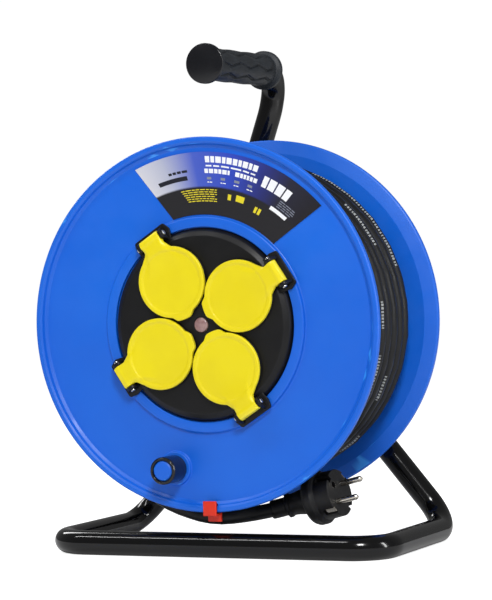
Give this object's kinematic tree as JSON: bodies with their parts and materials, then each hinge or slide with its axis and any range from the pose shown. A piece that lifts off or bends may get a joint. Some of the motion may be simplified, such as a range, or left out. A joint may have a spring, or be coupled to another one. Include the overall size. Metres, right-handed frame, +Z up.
{
  "type": "extension cord reel",
  "caption": "Floor-standing mains extension reel: blue cable drum with covered sockets, turning on a bent tube stand with a carrying grip.",
  "frame": {"origin": "on the floor under the middle of the stand and drum, cable and plug left out", "axes": "+Z up, the socket side faces -Y, +X to the right when looking at the sockets; the drum's axis runs along Y"},
  "size_m": [0.3044, 0.2048, 0.4125],
  "materials": {
    "gloss_black_paint": "gloss",
    "grip_rubber": "matt",
    "zinc_steel": "satin",
    "blue_plastic": "semi-gloss",
    "black_plastic": "satin",
    "yellow_plastic": "semi-gloss",
    "red_plastic": "semi-gloss",
    "white_plastic": "satin",
    "membrane": "satin",
    "cable_rubber": "matt",
    "label_print": "gloss",
    "brass": "polished",
    "nickel": "polished"
  },
  "bodies": {
    "stand": {"frame_tube": "gloss_black_paint", "handle_grip": "grip_rubber", "hub_plate": "gloss_black_paint", "spindle": "zinc_steel", "retaining_washer": "zinc_steel", "axle_bolt": "zinc_steel", "axle_nut": "zinc_steel", "leg_bolt": "zinc_steel", "leg_nut": "zinc_steel"},
    "lid_1_body": {"lid_1": "yellow_plastic", "lid_gasket_1": "cable_rubber"},
    "lid_2_body": {"lid_2": "yellow_plastic", "lid_gasket_2": "cable_rubber"},
    "lid_3_body": {"lid_3": "yellow_plastic", "lid_gasket_3": "cable_rubber"},
    "lid_4_body": {"lid_4": "yellow_plastic", "lid_gasket_4": "cable_rubber"},
    "knob": {"knob_sleeve": "black_plastic"},
    "button": {"reset_button": "membrane"},
    "drum": {"bearing_bush": "white_plastic", "cable_clamp": "white_plastic", "cable_clip": "red_plastic", "cable_coil": "cable_rubber", "cable_gland": "black_plastic", "cable_lead": "cable_rubber", "drum_screw_1": "zinc_steel", "drum_screw_2": "zinc_steel", "drum_screw_3": "zinc_steel", "drum_screw_4": "zinc_steel", "earth_pin_1": "brass", "earth_pin_2": "brass", "earth_pin_3": "brass", "earth_pin_4": "brass", "front_drum_half": "blue_plastic", "hinge_pin_1": "zinc_steel", "hinge_pin_2": "zinc_steel", "hinge_pin_3": "zinc_steel", "hinge_pin_4": "zinc_steel", "insulating_cover": "black_plastic", "knob_post": "blue_plastic", "label_plate": "label_print", "lid_spring_1": "zinc_steel", "lid_spring_2": "zinc_steel", "lid_spring_3": "zinc_steel", "lid_spring_4": "zinc_steel", "live_busbar": "brass", "neutral_busbar": "brass", "plug_body": "cable_rubber", "plug_boot": "cable_rubber", "plug_earth_clip_1": "nickel", "plug_earth_clip_2": "nickel", "plug_pin_1": "nickel", "plug_pin_2": "nickel", "rear_drum_half": "blue_plastic", "socket_insert_1": "black_plastic", "socket_insert_2": "black_plastic", "socket_insert_3": "black_plastic", "socket_insert_4": "black_plastic", "socket_plate": "black_plastic", "thermal_cutout": "black_plastic"}
  },
  "joints": [
    {"name": "drum_spin", "type": "hinge", "parent": "stand", "child": "drum", "pos_m": [0, -0.0109, 0.1872], "axis": [0, 1, 0], "continuous": true},
    {"name": "lid_1_hinge", "type": "hinge", "parent": "drum", "child": "lid_1_body", "pos_m": [0.06733, -0.0864, 0.22767], "axis": [-0.5476, 0, 0.8368], "range_deg": [0, 115], "stiffness_Nm_per_rad": 0.012, "springref_deg": -68.75},
    {"name": "lid_2_hinge", "type": "hinge", "parent": "drum", "child": "lid_2_body", "pos_m": [-0.04047, -0.0864, 0.25453], "axis": [-0.8368, 0, -0.5476], "range_deg": [0, 115], "stiffness_Nm_per_rad": 0.012, "springref_deg": -68.75},
    {"name": "lid_3_hinge", "type": "hinge", "parent": "drum", "child": "lid_3_body", "pos_m": [-0.06733, -0.0864, 0.14673], "axis": [0.5476, 0, -0.8368], "range_deg": [0, 115], "stiffness_Nm_per_rad": 0.012, "springref_deg": -68.75},
    {"name": "lid_4_hinge", "type": "hinge", "parent": "drum", "child": "lid_4_body", "pos_m": [0.04047, -0.0864, 0.11987], "axis": [0.8368, 0, 0.5476], "range_deg": [0, 115], "stiffness_Nm_per_rad": 0.012, "springref_deg": -68.75},
    {"name": "knob_spin", "type": "hinge", "parent": "drum", "child": "knob", "pos_m": [-0.029, -0.0909, 0.072], "axis": [0, 1, 0], "continuous": true},
    {"name": "button_press", "type": "slide", "parent": "drum", "child": "button", "axis": [0, 1, 0], "range_m": [0, 0.002], "stiffness_N_per_m": 400, "springref_m": -0.002}
  ]
}
